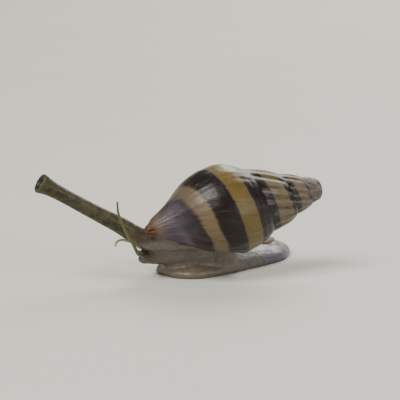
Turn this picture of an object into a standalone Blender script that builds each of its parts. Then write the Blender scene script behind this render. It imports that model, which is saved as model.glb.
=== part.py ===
"""A live assassin snail at life size, crawling with its siphon stretched out in front of it.

The snail heads for -X. Its sole lies on z = 0, its shell leans over the left edge of the foot, and the origin
is below the middle of the whole animal. It is modelled in millimetres, and scaled by MM at the end.
"""

import math

import bmesh
import bpy
from mathutils import Matrix, Vector

MM = 0.001
GAP = 0.10  # clearance between neighbouring pieces, small because the feelers are only 0.5 mm thick

# The shell: a spiral about an axis that runs from the end of its canal back to the apex.
CANAL_END = Vector((-3.95, -8.0, 5.5))
SHELL_HEADING = math.radians(21.0)  # from +X towards +Y
SHELL_PITCH = math.radians(11.0)  # the apex is raised
SHELL_REACH = 23.2  # from the end of the canal to the point that the whole spiral runs in to
WHORL_GROWTH = 1.535  # each turn is this much larger than the one before it
SPIRE_SLOPE = 0.365  # radius at a suture, for each millimetre from that point
WHORL_BULGE = 0.085  # how far a whorl swells past the straight line between its sutures
WHORL_SHOULDER = 0.62  # below 1, a whorl is fullest above its middle
LIP_ANGLE = math.radians(115.0)  # round the axis, from straight up towards +Y, where the outer lip ends
LIP_SUTURE = 12.9  # from the spiral's point to where the lip meets the whorl above it
LIP_SPREAD = 0.65  # the whorl reaches this much further down towards the lip
SPREAD_START = 0.43  # share of the last turn from which it does
WORN_TIP = 2.5  # the first whorls are worn away as far as this
WORN_LENGTH = 1.1  # over which the worn tip rounds off
WORN_RADIUS = 1.45
BODY_WHORL = ((12.0, 5.6), (14.3, 5.25), (15.6, 5.05), (16.6, 4.7), (17.6, 4.2), (18.5, 3.55), (19.4, 2.8),
              (20.4, 2.1), (21.4, 1.55), (22.3, 1.05), (SHELL_REACH, 0.55))
COLUMELLA = ((12.0, 5.6), (12.9, 4.6), (14.3, 3.0), (16.2, 1.7), (19.0, 1.0), (SHELL_REACH, 0.45))
MOUTH_START, MOUTH_END = 0.08, 0.34  # shares of the last turn, past the lip, over which the mouth is open
BASE_BLEND = 0.5  # softness of the bend from the spire's slope to the base
CANAL_CAP = 0.1  # the canal's closed end stands out this far
SPIRE_TURNS = 3
TURN_STEPS = 42
ROWS_PER_TURN = 8
CANAL_ROWS = 8

# The foot: ribs across it from front to tail, each (left edge, right edge, height of its back).
FOOT_RIBS = (
    ((-3.30, -2.40), (-2.60, 1.00), 0.75),
    ((-2.60, -3.75), (-2.20, 2.50), 1.10),
    ((-1.20, -5.75), (-1.65, 3.20), 1.55),
    ((0.80, -6.30), (-1.05, 3.02), 2.00),
    ((2.35, -5.76), (-0.10, 3.70), 2.35),
    ((4.60, -3.70), (1.27, 5.04), 2.55),
    ((6.90, -0.60), (3.00, 7.00), 2.50),
    ((9.00, 2.00), (4.95, 9.15), 2.20),
    ((10.90, 5.00), (6.80, 11.00), 1.80),
    ((11.60, 8.20), (8.60, 12.20), 1.35),
    ((11.55, 10.30), (9.80, 12.50), 0.95),
    ((11.20, 11.60), (10.40, 12.35), 0.65),
)
FOOT_EDGE = 0.55  # thickness of the sole's rim
SOLE_BEVEL = 0.10
FOOT_FULLNESS = 0.75  # below 1, the foot's back is fuller than a half ellipse
RIB_STEPS = 3
FOOT_ACROSS = 12
FOOT_CUTS = (4.4, 7.6)  # where the foot is parted, counted in ribs from the front

# Lofted flesh: stations of (x, y, z, half width, half height).
NECK = ((2.20, -0.40, 0.30, 4.30, 3.60), (2.30, -1.60, 1.60, 3.50, 2.80), (2.50, -2.90, 2.95, 3.00, 2.20),
        (2.70, -4.00, 4.20, 2.60, 1.80), (2.90, -4.90, 5.40, 2.10, 1.50))
HEAD = ((-4.35, -5.25, 2.15, 0.75, 0.65), (-3.75, -4.95, 2.35, 1.25, 0.95), (-2.70, -4.55, 2.55, 1.55, 1.20),
        (-1.00, -4.00, 2.65, 1.90, 1.40), (1.20, -3.40, 2.70, 2.20, 1.50), (2.40, -3.10, 2.70, 2.20, 1.50))
MANTLE = ((-4.30, -6.72, 4.55, 1.15, 1.15), (-2.60, -6.30, 4.35, 1.30, 1.15), (-0.50, -5.90, 4.65, 1.80, 1.45),
          (2.00, -4.80, 4.90, 2.40, 1.80), (4.40, -3.40, 5.30, 2.20, 1.70), (6.20, -2.30, 5.70, 1.20, 1.10))
SIPHON = ((-14.80, -11.40, 11.30, 1.14), (-14.30, -11.15, 10.98, 0.95), (-13.40, -10.70, 10.40, 0.79),
          (-11.60, -9.90, 9.25, 0.76), (-9.10, -8.80, 7.65, 0.81), (-6.60, -7.65, 6.10, 0.91),
          (-5.00, -6.98, 4.92, 1.02), (-3.60, -6.48, 4.20, 1.06))
SIPHON_PARTS = (("siphon_tip", 0.0, 3.0), ("siphon_middle", 3.0, 4.6), ("siphon_base", 4.6, 6.6))
SIPHON_MOUTH = (0.70, 0.25, 1.3)  # outer radius, inner radius and depth of the opening at its end

# Feelers: stations of (x, y, z, radius). The thick root ends at station 2, where the eye sits.
TENTACLE_LEFT = ((-3.50, -5.35, 2.60, 0.42), (-4.05, -6.20, 2.75, 0.38), (-4.70, -7.35, 3.05, 0.36),
                 (-4.95, -8.00, 3.45, 0.26), (-5.35, -8.95, 4.60, 0.26), (-6.05, -10.10, 6.30, 0.25),
                 (-6.55, -11.00, 8.00, 0.25), (-6.60, -11.60, 9.40, 0.25))
TENTACLE_RIGHT = ((-3.10, -3.85, 2.60, 0.44), (-4.10, -3.20, 2.80, 0.38), (-5.25, -2.30, 3.00, 0.36),
                  (-5.75, -2.10, 3.15, 0.26), (-6.50, -1.35, 3.30, 0.26), (-7.50, 0.20, 3.10, 0.25),
                  (-8.20, 1.80, 2.50, 0.25), (-8.50, 3.55, 1.75, 0.25))
TENTACLE_PARTS = (("root", 0.0, 2.35), ("middle", 2.35, 5.0), ("tip", 5.0, 7.0))
EYE_RADIUS = 0.20
EYE_OUT = 0.27  # from the middle of the feeler's root out to the middle of the eye
EYE_LEFT_SIDE = Vector((0.75, -0.50, 0.45))
EYE_RIGHT_SIDE = Vector((0.15, 0.78, 0.50))

# The horny plate on the tail's back.
OPERCULUM_PLACE = Vector((8.3, 6.9, 2.20))
OPERCULUM_HEADING, OPERCULUM_TILT = math.radians(55.0), math.radians(4.0)
OPERCULUM_LENGTH, OPERCULUM_WIDTH, OPERCULUM_THICKNESS = 4.4, 2.9, 0.5

MATERIALS = {
    "shell": ((0.22, 0.13, 0.07), 0.32),
    "flesh": ((0.30, 0.26, 0.22), 0.45),
    "feeler": ((0.33, 0.31, 0.16), 0.45),
    "eye": ((0.01, 0.01, 0.012), 0.12),
    "horn": ((0.24, 0.12, 0.04), 0.40),
}


def material(name):
    colour, roughness = MATERIALS[name]
    made = bpy.data.materials.get(name) or bpy.data.materials.new(name)
    made.use_nodes = True
    shader = made.node_tree.nodes["Principled BSDF"]
    shader.inputs["Base Color"].default_value = (*colour, 1.0)
    shader.inputs["Roughness"].default_value = roughness
    return made


def solid(name, mesh, finish):
    """The bmesh as an object with its faces pointing out. It stays in millimetres until the end."""
    bmesh.ops.remove_doubles(mesh, verts=mesh.verts, dist=1e-4)
    bmesh.ops.recalc_face_normals(mesh, faces=mesh.faces)
    data = bpy.data.meshes.new(name)
    mesh.to_mesh(data)
    mesh.free()
    data.materials.append(material(finish))
    data.shade_smooth()
    data.set_sharp_from_angle(angle=math.radians(40))
    made = bpy.data.objects.new(name, data)
    bpy.context.scene.collection.objects.link(made)
    return made


def apply_modifiers(thing):
    graph = bpy.context.evaluated_depsgraph_get()
    finished = bpy.data.meshes.new_from_object(thing.evaluated_get(graph))
    thing.modifiers.clear()
    thing.data = finished


def cut_by(thing, *others):
    """Takes each other piece, grown by the gap, out of this one."""
    for other in others:
        cutter = bpy.data.objects.new("cutter", other.data.copy())
        bpy.context.scene.collection.objects.link(cutter)
        grown = bmesh.new()
        grown.from_mesh(cutter.data)
        grown.normal_update()
        for vert in grown.verts:
            vert.co += vert.normal * GAP * max(1.0, vert.calc_shell_factor())
        grown.to_mesh(cutter.data)
        grown.free()
        cut = thing.modifiers.new("cut", "BOOLEAN")
        cut.operation = "DIFFERENCE"
        cut.object = cutter
        cut.solver = "MANIFOLD"
        apply_modifiers(thing)
        bpy.data.objects.remove(cutter)
    keep_largest_body(thing)


def keep_largest_body(thing):
    """A cut can leave a sliver on the far side of the cutter. Only the main body stays."""
    mesh = bmesh.new()
    mesh.from_mesh(thing.data)
    left, bodies = set(mesh.verts), []
    while left:
        body, edge = set(), [left.pop()]
        while edge:
            vert = edge.pop()
            body.add(vert)
            near = {link.other_vert(vert) for link in vert.link_edges} & left
            left -= near
            edge.extend(near)
        bodies.append(body)
    main = max(bodies, key=len)
    bmesh.ops.delete(mesh, geom=[vert for vert in mesh.verts if vert not in main], context="VERTS")
    mesh.to_mesh(thing.data)
    mesh.free()


def smooth_between(points, place):
    """The value at this place, counted in points, on a smooth curve through the rows of numbers."""
    index = max(0, min(int(place), len(points) - 2))
    share = place - index
    before, here = points[max(index - 1, 0)], points[index]
    there, after = points[index + 1], points[min(index + 2, len(points) - 1)]
    values = []
    for a, b, c, d in zip(before, here, there, after):
        curve, twist = 2 * a - 5 * b + 4 * c - d, 3 * b - a - 3 * c + d
        values.append(0.5 * (2 * b + (c - a) * share + curve * share**2 + twist * share**3))
    return tuple(values)


def along(stations, distance):
    """The second number of the stations at this distance, which is their first number."""
    if distance <= stations[0][0]:
        return stations[0][1]
    for index, (start, end) in enumerate(zip(stations, stations[1:])):
        if distance <= end[0]:
            share = (distance - start[0]) / (end[0] - start[0])
            return smooth_between(stations, index + share)[1]
    return stations[-1][1]


def ease(share):
    share = max(0.0, min(1.0, share))
    return share * share * (3 - 2 * share)


def soft_min(a, b, softness):
    overlap = max(softness - abs(a - b), 0.0) / softness
    return min(a, b) - overlap * overlap * softness / 4


# ---------------------------------------------------------------- shell


def shell_radius(turn, reach):
    """Radius at this share of the last turn, from one turn before the lip to the lip, and this reach."""
    whorls = math.log(reach / LIP_SUTURE) / math.log(WHORL_GROWTH) + 1 - turn
    in_whorl = whorls - math.floor(whorls) if whorls < 0 else min(whorls, 1.0)
    bulge = WHORL_BULGE * math.sin(math.pi * in_whorl**WHORL_SHOULDER)
    spire = SPIRE_SLOPE * reach * (1 + bulge)
    lowered = reach - LIP_SPREAD * ease((turn - SPREAD_START) / (1 - SPREAD_START))
    open_mouth = ease((turn - MOUTH_START) / (MOUTH_END - MOUTH_START))
    columella = along(COLUMELLA, reach)
    body = columella + (along(BODY_WHORL, lowered) - columella) * open_mouth
    worn = max(0.0, min(1.0, (reach - WORN_TIP) / WORN_LENGTH))
    nub = WORN_RADIUS * math.sqrt(1 - (1 - worn) ** 2) + max(0.0, reach - WORN_TIP - WORN_LENGTH)
    return min(soft_min(spire, body, BASE_BLEND), nub)


def shell_frame():
    axis = Vector((
        math.cos(SHELL_HEADING) * math.cos(SHELL_PITCH),
        math.sin(SHELL_HEADING) * math.cos(SHELL_PITCH),
        math.sin(SHELL_PITCH),
    ))
    up = (Vector((0, 0, 1)) - axis * axis.z).normalized()
    return axis, up, up.cross(axis)


def shell_point(turn, reach):
    axis, up, side = shell_frame()
    angle = LIP_ANGLE + (turn - 1) * math.tau
    radial = up * math.cos(angle) + side * math.sin(angle)
    return CANAL_END + axis * (SHELL_REACH - reach) + radial * shell_radius(turn, reach)


def shell_reach(row, turn):
    """Rows follow the sutures from the worn tip to the last turn's whole width, then spread out evenly."""
    spiral = LIP_SUTURE * WHORL_GROWTH ** (turn - 1 + row / ROWS_PER_TURN - SPIRE_TURNS)
    last_spiral = (SPIRE_TURNS + 1) * ROWS_PER_TURN
    if row <= last_spiral:
        return max(spiral, WORN_TIP)
    start = LIP_SUTURE * WHORL_GROWTH**turn
    return start + (SHELL_REACH - start) * (row - last_spiral) / CANAL_ROWS


def build_shell():
    """One strip wound round the axis, each turn joined to the next, with the mouth as a flat wall at the lip.

    The strip starts one turn early, where all its points lie on the tip and so merge into one.
    """
    mesh = bmesh.new()
    first, lip_row = -ROWS_PER_TURN, SPIRE_TURNS * ROWS_PER_TURN
    last = lip_row + ROWS_PER_TURN + CANAL_ROWS
    grid = {}
    for row in range(first, last + 1):
        for step in range(TURN_STEPS + 1):
            turn = step / TURN_STEPS
            joins_next = step == TURN_STEPS and row <= lip_row
            if not joins_next:
                grid[row, step] = mesh.verts.new(shell_point(turn, shell_reach(row, turn)))
    for row in range(first, lip_row + 1):
        grid[row, TURN_STEPS] = grid[row + ROWS_PER_TURN, 0]
    for row in range(first, last):
        for step in range(TURN_STEPS):
            corners = (grid[row, step], grid[row, step + 1], grid[row + 1, step + 1], grid[row + 1, step])
            mesh.faces.new(corners)
    wall = [grid[row, TURN_STEPS] for row in range(lip_row, last + 1)]
    wall += [grid[row, 0] for row in range(last, lip_row + ROWS_PER_TURN, -1)]
    bmesh.ops.triangulate(mesh, faces=[mesh.faces.new(wall)])
    axis, _, _ = shell_frame()
    end = mesh.verts.new(CANAL_END - axis * CANAL_CAP)
    for step in range(TURN_STEPS):
        mesh.faces.new((grid[last, step], grid[last, step + 1], end))
    mesh.faces.new((grid[last, TURN_STEPS], grid[last, 0], end))
    return solid("shell", mesh, "shell")


# ---------------------------------------------------------------- flesh


def foot_rib(place):
    """Left edge, right edge and crown height of the foot at this place, counted in ribs."""
    rows = [(*left, *right, crown) for left, right, crown in FOOT_RIBS]
    left_x, left_y, right_x, right_y, crown = smooth_between(rows, place)
    return Vector((left_x, left_y, 0)), Vector((right_x, right_y, 0)), crown


def foot_length(name, start, end):
    """A length of the foot between two places, flat below, with a rounded rim and a crowned back."""
    mesh = bmesh.new()
    count = max(2, round((end - start) * RIB_STEPS))
    loops = []
    for step in range(count + 1):
        left, right, crown = foot_rib(start + (end - start) * step / count)
        inset = (right - left).normalized() * SOLE_BEVEL
        loop = [left + inset, left + Vector((0, 0, SOLE_BEVEL))]
        for index in range(FOOT_ACROSS + 1):
            across = -math.cos(math.pi * index / FOOT_ACROSS)
            height = FOOT_EDGE + (crown - FOOT_EDGE) * (1 - across * across) ** FOOT_FULLNESS
            loop.append(left.lerp(right, (across + 1) / 2) + Vector((0, 0, height)))
        loop += [right + Vector((0, 0, SOLE_BEVEL)), right - inset]
        loops.append([mesh.verts.new(point) for point in loop])
    for near, far in zip(loops, loops[1:]):
        for index in range(len(near)):
            after = (index + 1) % len(near)
            mesh.faces.new((near[index], near[after], far[after], far[index]))
    mesh.faces.new(loops[0])
    mesh.faces.new(loops[-1])
    return solid(name, mesh, "flesh")


def build_foot():
    last = len(FOOT_RIBS) - 1
    part = GAP / 4  # about half the gap, counted in ribs
    return (
        foot_length("foot_front", 0, FOOT_CUTS[0] - part),
        foot_length("foot_middle", FOOT_CUTS[0] + part, FOOT_CUTS[1] - part),
        foot_length("foot_tail", FOOT_CUTS[1] + part, last),
    )


def loft(name, stations, finish, start=0.0, end=None, rings=12, sides=20, round_start=False, round_end=False):
    """A body through the stations, oval across its path, with flat or round ends."""
    end = len(stations) - 1 if end is None else end
    mesh = bmesh.new()
    loops = []
    for step in range(rings + 1):
        place = start + (end - start) * step / rings
        x, y, z, half_width, half_height = smooth_between(stations, place)
        ahead = Vector(smooth_between(stations, min(place + 0.05, len(stations) - 1))[:3])
        behind = Vector(smooth_between(stations, max(place - 0.05, 0))[:3])
        loops.append(ring(Vector((x, y, z)), ahead - behind, half_width, half_height, sides))
    if round_start:
        loops = dome(loops[0], loops[1]) + loops
    if round_end:
        loops = loops + dome(loops[-1], loops[-2])[::-1]
    loops = [[mesh.verts.new(point) for point in loop] for loop in loops]
    for near, far in zip(loops, loops[1:]):
        for index in range(sides):
            after = (index + 1) % sides
            mesh.faces.new((near[index], near[after], far[after], far[index]))
    mesh.faces.new(loops[0])
    mesh.faces.new(loops[-1])
    return solid(name, mesh, finish)


def ring(centre, heading, half_width, half_height, sides):
    heading = heading.normalized()
    across = heading.cross(Vector((0, 0, 1)))
    across = across.normalized() if across.length > 0.05 else Vector((0, 1, 0))
    over = across.cross(heading)
    turns = [math.tau * index / sides for index in range(sides)]
    return [centre + across * half_width * math.cos(turn) + over * half_height * math.sin(turn) for turn in turns]


def dome(end_loop, inner_loop):
    """Rings that round off an end, from its small last ring to the end ring."""
    centre = sum(end_loop, Vector()) / len(end_loop)
    outward = (centre - sum(inner_loop, Vector()) / len(inner_loop)).normalized()
    radius = min((point - centre).length for point in end_loop)
    rings = []
    for angle in (math.radians(75), math.radians(52), math.radians(28)):
        shift = outward * radius * math.sin(angle)
        rings.append([centre + shift + (point - centre) * math.cos(angle) for point in end_loop])
    return rings


def round_stations(stations):
    return [(*station, station[-1]) for station in stations]


def lengths(prefix, stations, parts, finish, sides, rings_per_station):
    """A long round body in a few lengths, with a thin cut between each two. The last one has a round end."""
    made = []
    stations = round_stations(stations)
    for index, (name, start, end) in enumerate(parts):
        near, far = (Vector(smooth_between(stations, place)[:3]) for place in (start, end))
        part = 0.5 * GAP * (end - start) / (far - near).length
        is_last = index == len(parts) - 1
        rings = round((end - start) * rings_per_station)
        made.append(loft(prefix + name, stations, finish, start + (part if index else 0),
                         end - (0 if is_last else part), rings, sides, round_end=is_last and finish == "feeler"))
    return made


def open_siphon(tip):
    """Bores the funnel at the siphon's free end."""
    near, far = Vector(SIPHON[0][:3]), Vector(SIPHON[2][:3])
    outer_radius, inner_radius, depth = SIPHON_MOUTH
    heading = (far - near).normalized()
    mouth = bmesh.new()
    middle = near + heading * (depth / 2 - GAP)
    place = Matrix.Translation(middle) @ heading.to_track_quat("Z", "Y").to_matrix().to_4x4()
    bmesh.ops.create_cone(mouth, cap_ends=True, segments=16, radius1=outer_radius, radius2=inner_radius,
                          depth=depth, matrix=place)
    cutter = solid("funnel", mouth, "flesh")
    bore = tip.modifiers.new("bore", "BOOLEAN")
    bore.operation = "DIFFERENCE"
    bore.object = cutter
    apply_modifiers(tip)
    bpy.data.objects.remove(cutter)


def build_eye(name, feeler, side):
    mesh = bmesh.new()
    place = Matrix.Translation(Vector(feeler[2][:3]) + side.normalized() * EYE_OUT)
    bmesh.ops.create_uvsphere(mesh, u_segments=10, v_segments=6, radius=EYE_RADIUS, matrix=place)
    return solid(name, mesh, "eye")


def build_operculum():
    """A long oval plate, gently domed, on the back of the tail."""
    mesh = bmesh.new()
    bmesh.ops.create_uvsphere(mesh, u_segments=20, v_segments=8, radius=1.0)
    scale = Matrix.Diagonal((OPERCULUM_LENGTH / 2, OPERCULUM_WIDTH / 2, OPERCULUM_THICKNESS / 2, 1))
    turn = Matrix.Rotation(OPERCULUM_HEADING, 4, "Z") @ Matrix.Rotation(OPERCULUM_TILT, 4, "Y")
    bmesh.ops.transform(mesh, matrix=Matrix.Translation(OPERCULUM_PLACE) @ turn @ scale, verts=mesh.verts)
    return solid("operculum", mesh, "horn")


# ---------------------------------------------------------------- the animal


def build_snail():
    shell = build_shell()
    foot = build_foot()
    neck = loft("neck", NECK, "flesh", round_end=True)
    cut_by(neck, shell, *foot)
    head = loft("head", HEAD, "flesh", round_start=True)
    cut_by(head, neck, *foot)
    mantle = loft("mantle", MANTLE, "flesh", round_end=True)
    cut_by(mantle, shell, neck, head)
    siphon = lengths("", SIPHON, SIPHON_PARTS, "flesh", 16, 3)
    open_siphon(siphon[0])
    cut_by(siphon[-1], mantle, shell)
    feelers = {"left": (TENTACLE_LEFT, EYE_LEFT_SIDE), "right": (TENTACLE_RIGHT, EYE_RIGHT_SIDE)}
    for side, (stations, eye_side) in feelers.items():
        feeler = lengths(f"tentacle_{side}_", stations, TENTACLE_PARTS, "feeler", 10, 3)
        eye = build_eye(f"eye_{side}", stations, eye_side)
        cut_by(feeler[0], head, eye)
        cut_by(feeler[1], eye)
    operculum = build_operculum()
    cut_by(operculum, *foot)


def place_on_origin():
    """Turns millimetres to metres, and moves the animal so that the origin is below the middle of its box."""
    pieces = [thing for thing in bpy.context.scene.objects if thing.type == "MESH"]
    places = [vert.co for piece in pieces for vert in piece.data.vertices]
    low = Vector([min(place[axis] for place in places) for axis in range(3)])
    high = Vector([max(place[axis] for place in places) for axis in range(3)])
    shift = Vector((-(low.x + high.x) / 2, -(low.y + high.y) / 2, -low.z))
    for piece in pieces:
        piece.data.transform(Matrix.Scale(MM, 4) @ Matrix.Translation(shift))


for leftover in list(bpy.data.objects):
    bpy.data.objects.remove(leftover)
build_snail()
place_on_origin()
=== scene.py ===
"""The looks of a live assassin snail at life size, crawling with its siphon stretched out in front of it.

Each piece is shaped in millimetres in the frame in which the snail was designed: it heads for -X and its sole
lies on z = 0. The function `settle` then puts it in its place in metres and makes it part of the model.
"""

import math

import bpy
import numpy as np
from mathutils import Matrix, Vector, noise


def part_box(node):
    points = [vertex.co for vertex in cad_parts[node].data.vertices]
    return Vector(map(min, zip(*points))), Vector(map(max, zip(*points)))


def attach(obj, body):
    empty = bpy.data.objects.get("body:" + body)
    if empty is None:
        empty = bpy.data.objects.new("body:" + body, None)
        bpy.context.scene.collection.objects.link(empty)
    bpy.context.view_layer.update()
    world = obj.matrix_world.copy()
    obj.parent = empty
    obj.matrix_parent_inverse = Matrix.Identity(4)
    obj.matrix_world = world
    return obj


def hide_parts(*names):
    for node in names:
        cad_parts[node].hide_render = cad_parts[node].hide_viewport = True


MM = 0.001
TAU = math.tau

# The shell: a spiral about an axis that runs from the end of its canal back to the apex.
CANAL_END = np.array((-3.95, -8.0, 5.5))
SHELL_HEADING = math.radians(21.0)  # from +X towards +Y
SHELL_PITCH = math.radians(11.0)  # the apex is raised
SHELL_REACH = 23.2  # from the end of the canal to the point that the whole spiral runs in to
WHORL_GROWTH = 1.535  # each turn is this much larger than the one before it
SPIRE_SLOPE = 0.365  # radius at a suture, for each millimetre from that point
WHORL_BULGE = 0.085  # how far a whorl swells past the straight line between its sutures
WHORL_SHOULDER = 0.62  # below 1, a whorl is fullest above its middle
LIP_ANGLE = math.radians(115.0)  # round the axis, from straight up towards +Y, where the outer lip ends
LIP_SUTURE = 12.9  # from the spiral's point to where the lip meets the whorl above it
LIP_SPREAD = 0.65  # the whorl reaches this much further down towards the lip
SPREAD_START = 0.43  # share of the last turn from which it does
WORN_TIP = 2.5  # the first whorls are worn away as far as this
WORN_LENGTH, WORN_RADIUS = 1.1, 1.45  # the worn tip rounds off over this length, to this radius
# Radii of the last whorl and of the column inside it, each after its distance from the spiral's point.
BODY_WHORL = ((12.0, 5.6), (14.3, 5.25), (15.6, 5.05), (16.6, 4.7), (17.6, 4.2), (18.5, 3.55), (19.4, 2.8),
              (20.4, 2.1), (21.4, 1.55), (22.3, 1.05), (SHELL_REACH, 0.55))
COLUMELLA = ((12.0, 5.6), (12.9, 4.6), (14.3, 3.0), (16.2, 1.7), (19.0, 1.0), (SHELL_REACH, 0.45))
MOUTH_START, MOUTH_END = 0.08, 0.34  # shares of the last turn over which it widens from the column
BASE_BLEND = 0.5  # softness of the bend from the spire's slope to the base
SPIRE_TURNS = 3
TURN_STEPS, ROWS_PER_TURN, CANAL_ROWS = 216, 32, 44
SHELL_WALL = 0.30
FULL_WALL_RADIUS = 1.6  # closer to the axis than this, the wall is thinner

# Relief of the shell. The ribs' and the groove's heights are shares of the whorl's radius.
RIBS_PER_TURN, RIB_SLANT, RIB_HEIGHT = 17, 0.05, 0.060
GROOVE_PLACE, GROOVE_WIDTH, GROOVE_DEPTH = 0.17, 0.035, 0.012  # in whorls below each suture
THREADS_PER_WHORL, THREAD_HEIGHT = 26, 0.018
GROWTH_MARKS, GROWTH_MARK_HEIGHT = 31.3, 0.012
PITTED_REACH, PIT_SIZE, PIT_DEPTH = 7.5, 0.7, 0.07  # the spire is pitted from its tip as far as this reach
END_CHIP, CHIPPED_LENGTH = 0.45, 1.2  # the deepest chip in the worn end of the canal, and where chips start

# The flesh just inside the shell: its distance from the outer surface, and where along the axis it lies.
MOUTH_INSET, MOUTH_STRETCH = 0.16, (1.2, 10.0)
MOUTH_ANGLES = math.radians(62.0), math.radians(114.0)
CANAL_INSET, CANAL_STRETCH = 0.34, (0.6, 3.0)

# The siphon and the feelers: (x, y, z, radius) from the free end, and from the head, of each.
SIPHON = ((-14.80, -11.40, 11.30, 1.14), (-14.30, -11.15, 10.98, 0.95), (-13.40, -10.70, 10.40, 0.79),
          (-11.60, -9.90, 9.25, 0.76), (-9.10, -8.80, 7.65, 0.81), (-6.60, -7.65, 6.10, 0.91),
          (-5.00, -6.98, 4.92, 1.02), (-3.60, -6.48, 4.20, 1.06))
SIPHON_HOOPS = 6  # between two stations
FEELERS = {
    "left": ((-3.50, -5.35, 2.60, 0.42), (-4.05, -6.20, 2.75, 0.38), (-4.70, -7.35, 3.05, 0.36),
             (-4.95, -8.00, 3.45, 0.20), (-5.35, -8.95, 4.60, 0.17), (-6.05, -10.10, 6.30, 0.15),
             (-6.55, -11.00, 8.00, 0.13), (-6.60, -11.60, 9.40, 0.11)),
    "right": ((-3.10, -3.85, 2.60, 0.44), (-4.10, -3.20, 2.80, 0.38), (-5.25, -2.30, 3.00, 0.36),
              (-5.75, -2.10, 3.15, 0.20), (-6.50, -1.35, 3.30, 0.17), (-7.50, 0.20, 3.10, 0.15),
              (-8.20, 1.80, 2.50, 0.13), (-8.50, 3.55, 1.75, 0.11)),
}
EYE_STATION = 2
EYE_RADIUS = 0.20
EYE_OUT = 0.27  # from the middle of the feeler's root to the middle of the eye
EYE_RING_RADIUS, EYE_RING_WIDTH, EYE_RING_HEIGHT = 0.25, 0.06, 0.05
EYE_SIDES = {"left": Vector((0.75, -0.50, 0.45)), "right": Vector((0.15, 0.78, 0.50))}

HEAD_MIDDLE, HEAD_RADIUS = np.array((-3.7, -4.9, 2.4)), 1.9
HEAD_FORWARD, HEAD_ASIDE = np.array((-0.894, -0.447, 0.0)), np.array((0.447, -0.894, 0.0))
MOUTH_PLACE, MOUTH_DEPTH = np.array((-4.40, -5.28, 1.90)), 0.17
MOUTH_WIDTH, MOUTH_HEIGHT = 0.075, 0.38
FRONT_GROOVE_HEIGHT, FRONT_GROOVE_WIDTH, FRONT_GROOVE_DEPTH = 0.42, 0.08, 0.07  # along the foot's front edge
RIM_HEIGHT = 0.62
SOLE_SINK = 0.06  # whatever is lower than this lies flat on the floor

# Folds of the flesh: height, how much finer they are along x, y and z, size, and a seed for their noise.
GRAINS = (0.009, (1.0, 1.0, 1.0), 0.38, 0.0)
NECK_FOLDS = (0.050, (0.8, 0.8, 3.2), 1.5, 5.0)
FLANK_FURROWS = (0.030, (1.4, 1.4, 0.3), 1.1, 9.0)
RIM_WAVES = (0.10, (1.0, 1.0, 0.2), 1.6, 7.0)

BODY_VOXEL, SKIN_VOXEL = 0.12, 0.103
SWELLING, SHRINKING = 0.38, 0.34  # one after the other, they close the cuts between the body's nodes

OPERCULUM_PLACE = (8.3, 6.9, 2.24)
OPERCULUM_HEADING, OPERCULUM_TILT = math.radians(55.0), math.radians(4.0)
OPERCULUM_LENGTH, OPERCULUM_WIDTH, OPERCULUM_THICKNESS = 4.4, 2.9, 0.26
OPERCULUM_DROP = (0.10, 0.30)  # how far its ends and its sides lie below its middle
OPERCULUM_START, OPERCULUM_TAPER = 0.62, 0.22  # where its growth began, and how much slimmer that end is
OPERCULUM_RIDGES, OPERCULUM_RIDGE_HEIGHT = 11, 0.025
LOBE_DEPTH = 0.10  # the flesh that carries it lies this far below its middle layer

# The operculum points along the foot.
FOOT_DIRECTION = (math.cos(OPERCULUM_HEADING), math.sin(OPERCULUM_HEADING), 0.0)
FOOT_NODES = ("foot_front", "foot_middle", "foot_tail")
BODY_NODES = ("head", "neck", "mantle", "siphon_base", "siphon_middle", "siphon_tip", *FOOT_NODES)
FEELER_NODES = tuple(f"tentacle_{side}_{part}" for side in FEELERS for part in ("root", "middle", "tip"))


# ------------------------------ modelling helpers


def activate(thing):
    bpy.ops.object.select_all(action="DESELECT")
    thing.select_set(True)
    bpy.context.view_layer.objects.active = thing


def modify(thing, kind, **settings):
    """Adds a modifier with these settings and applies it."""
    activate(thing)
    added = thing.modifiers.new(kind.title(), kind)
    for name, value in settings.items():
        setattr(added, name, value)
    bpy.ops.object.modifier_apply(modifier=added.name)


def merge(thing, distance=0.001):
    """Joins points that lie on each other, and leaves out what then has no area."""
    activate(thing)
    bpy.ops.object.mode_set(mode="EDIT")
    bpy.ops.mesh.select_all(action="SELECT")
    bpy.ops.mesh.remove_doubles(threshold=distance)
    bpy.ops.mesh.dissolve_degenerate(threshold=distance)
    bpy.ops.object.mode_set(mode="OBJECT")


def join(pieces):
    activate(pieces[0])
    for piece in pieces:
        piece.select_set(True)
    bpy.ops.object.join()
    return pieces[0]


def vectors_of(items, name):
    """This vector of every point or face, one to a row."""
    values = np.empty(len(items) * 3, np.float32)
    items.foreach_get(name, values)
    return values.reshape(-1, 3).astype(float)


def points_of(thing):
    return vectors_of(thing.data.vertices, "co")


def move_points(thing, places):
    thing.data.vertices.foreach_set("co", places.astype(np.float32).ravel())
    thing.data.update()


def paint(thing, name, values):
    """Stores one number for each point, for a material to read."""
    layer = thing.data.attributes.new(name, "FLOAT", "POINT")
    layer.data.foreach_set("value", np.asarray(values, np.float32))


def ease(share):
    """Turns a share from 0 to 1 into one that starts and ends gently."""
    share = np.clip(share, 0.0, 1.0)
    return share * share * (3 - 2 * share)


def bell(distance):
    """1 at a distance of 0, falling smoothly to nothing by a distance of about 2."""
    return np.exp(-np.square(distance))


def smooth_between(rows, place):
    """The rows' values at these places, counted in rows, on a smooth curve through them."""
    rows, place = np.asarray(rows, float), np.asarray(place, float)
    index = np.clip(np.floor(place).astype(int), 0, len(rows) - 2)
    share = (place - index)[..., None]
    a, b = rows[np.maximum(index - 1, 0)], rows[index]
    c, d = rows[index + 1], rows[np.minimum(index + 2, len(rows) - 1)]
    square = (2 * a - 5 * b + 4 * c - d) * share**2
    cube = (3 * b - a - 3 * c + d) * share**3
    return 0.5 * (2 * b + (c - a) * share + square + cube)


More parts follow.
